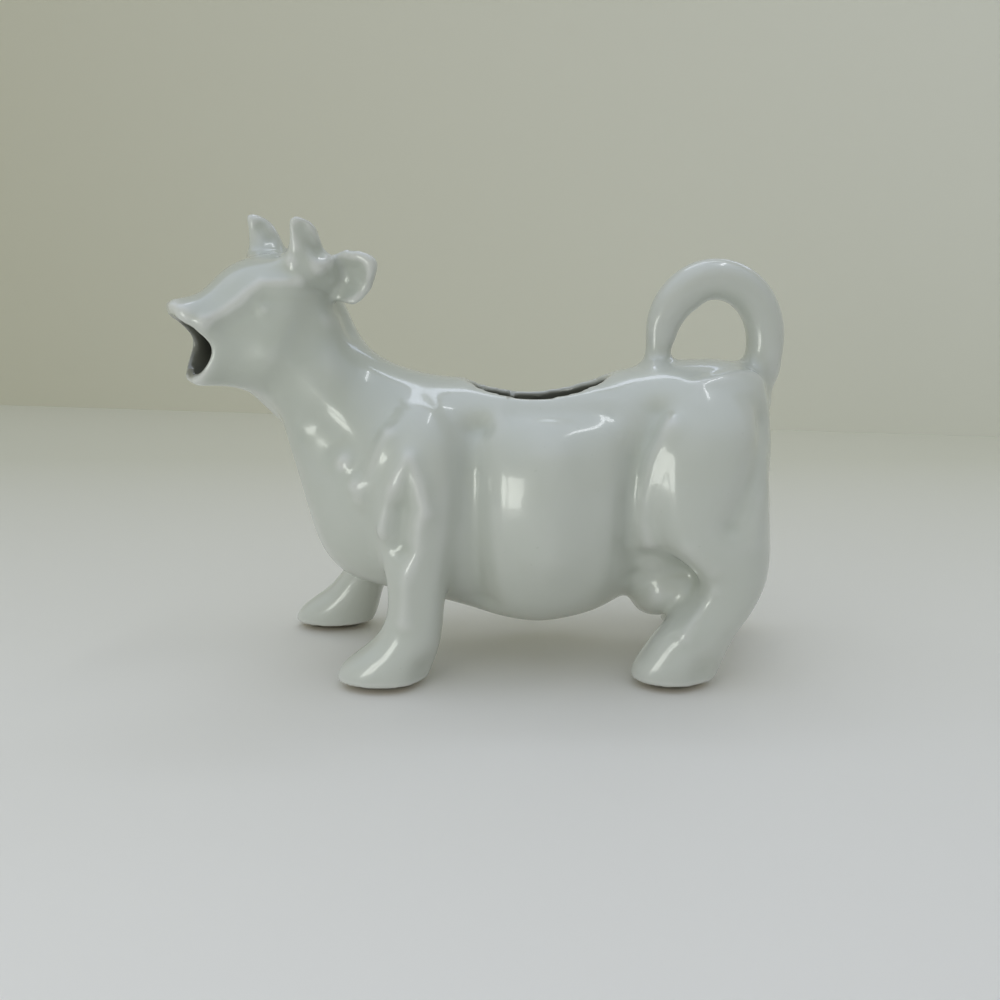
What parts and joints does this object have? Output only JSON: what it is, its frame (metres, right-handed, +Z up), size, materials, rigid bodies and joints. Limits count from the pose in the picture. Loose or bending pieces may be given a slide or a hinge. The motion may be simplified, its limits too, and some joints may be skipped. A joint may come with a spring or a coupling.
{
  "type": "cow creamer",
  "caption": "Small glazed jug in the shape of a standing cow: filled through its back, poured from its open mouth, lifted by its looped tail.",
  "frame": {"origin": "middle of the bounding box, on the plane of the four soles", "axes": "+X towards the tail, -X towards the nose, -Y towards the cow's left side, +Z up"},
  "size_m": [0.1332, 0.0486, 0.1006],
  "materials": {
    "glaze_body": "clear gloss glaze over white porcelain",
    "glaze_head": "clear gloss glaze over white porcelain",
    "glaze_legs": "clear gloss glaze, soles wiped bare",
    "glaze_handle": "clear gloss glaze over white porcelain"
  },
  "bodies": {
    "root": {"trunk": "glaze_body", "neck": "glaze_body", "head": "glaze_head", "left_ear": "glaze_head", "right_ear": "glaze_head", "left_horn": "glaze_head", "right_horn": "glaze_head", "udder": "glaze_body", "front_left_leg": "glaze_legs", "front_right_leg": "glaze_legs", "hind_left_leg": "glaze_legs", "hind_right_leg": "glaze_legs", "tail_handle": "glaze_handle"}
  },
  "joints": []
}
